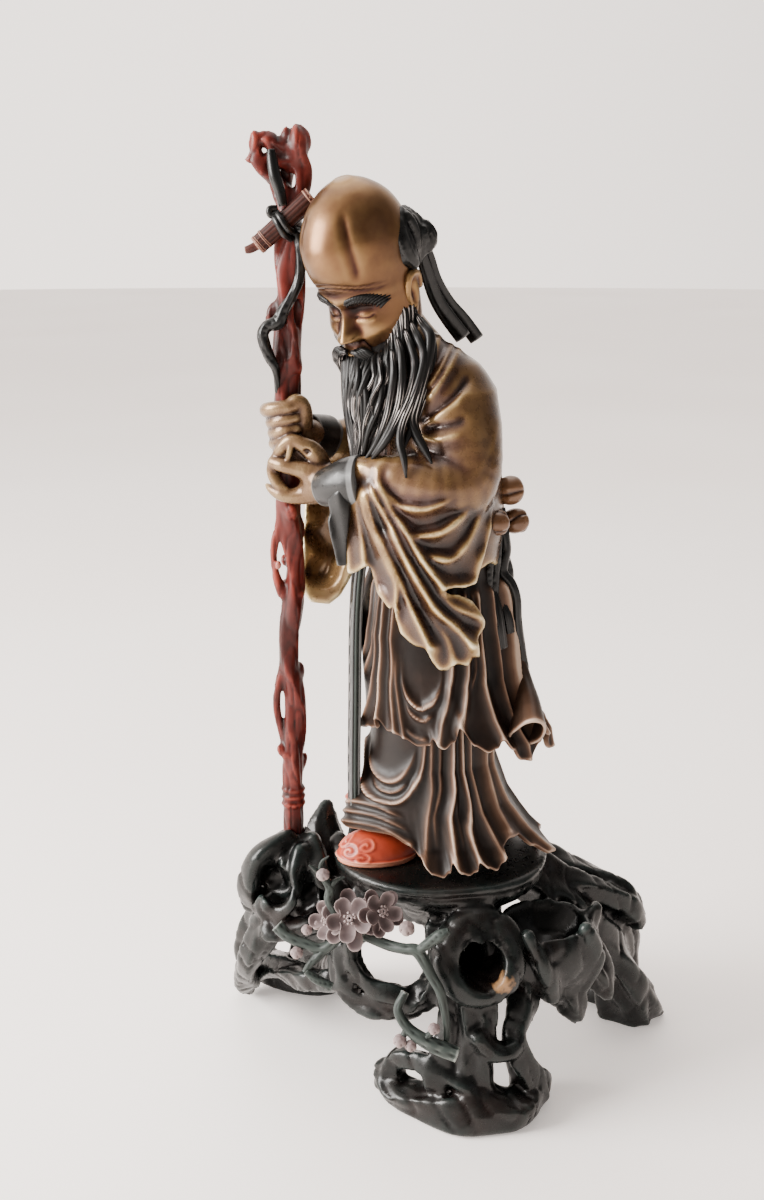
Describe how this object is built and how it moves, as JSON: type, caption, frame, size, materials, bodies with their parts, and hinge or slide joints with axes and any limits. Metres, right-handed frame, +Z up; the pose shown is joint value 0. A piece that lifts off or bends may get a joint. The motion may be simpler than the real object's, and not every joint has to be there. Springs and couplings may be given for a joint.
{
  "type": "shou lao figure",
  "caption": "Carved lacquered wood figure of a robed, bearded old sage with a high domed forehead, leaning on a knotted root staff, on a pierced rootwood stand with blossom.",
  "frame": {"origin": "middle of the bounding box, on the floor under the stand", "axes": "+Z up along the figure, -Y the way the figure's body faces, +X to the figure's left"},
  "size_m": [0.172, 0.226, 0.447],
  "materials": {
    "stand_lacquer": "satin greenish-black lacquer on carved wood, worn purplish brown on the edges",
    "gold_lacquer": "polished brass-gold lacquer on carved wood, dark red-brown in the hollows",
    "red_lacquer": "satin iron-red lacquer on carved wood",
    "brown_lacquer": "satin purplish-brown lacquer on carved wood",
    "black_lacquer": "satin black lacquer on carved wood, whitish in the incised strands",
    "blossom_lacquer": "matte mauve-grey paint on carved wood",
    "shoe_lacquer": "satin orange-red lacquer on carved wood"
  },
  "bodies": {
    "root": {"rootwood_stand": "stand_lacquer", "shou_lao_figure": "gold_lacquer", "root_staff": "red_lacquer"}
  },
  "joints": []
}
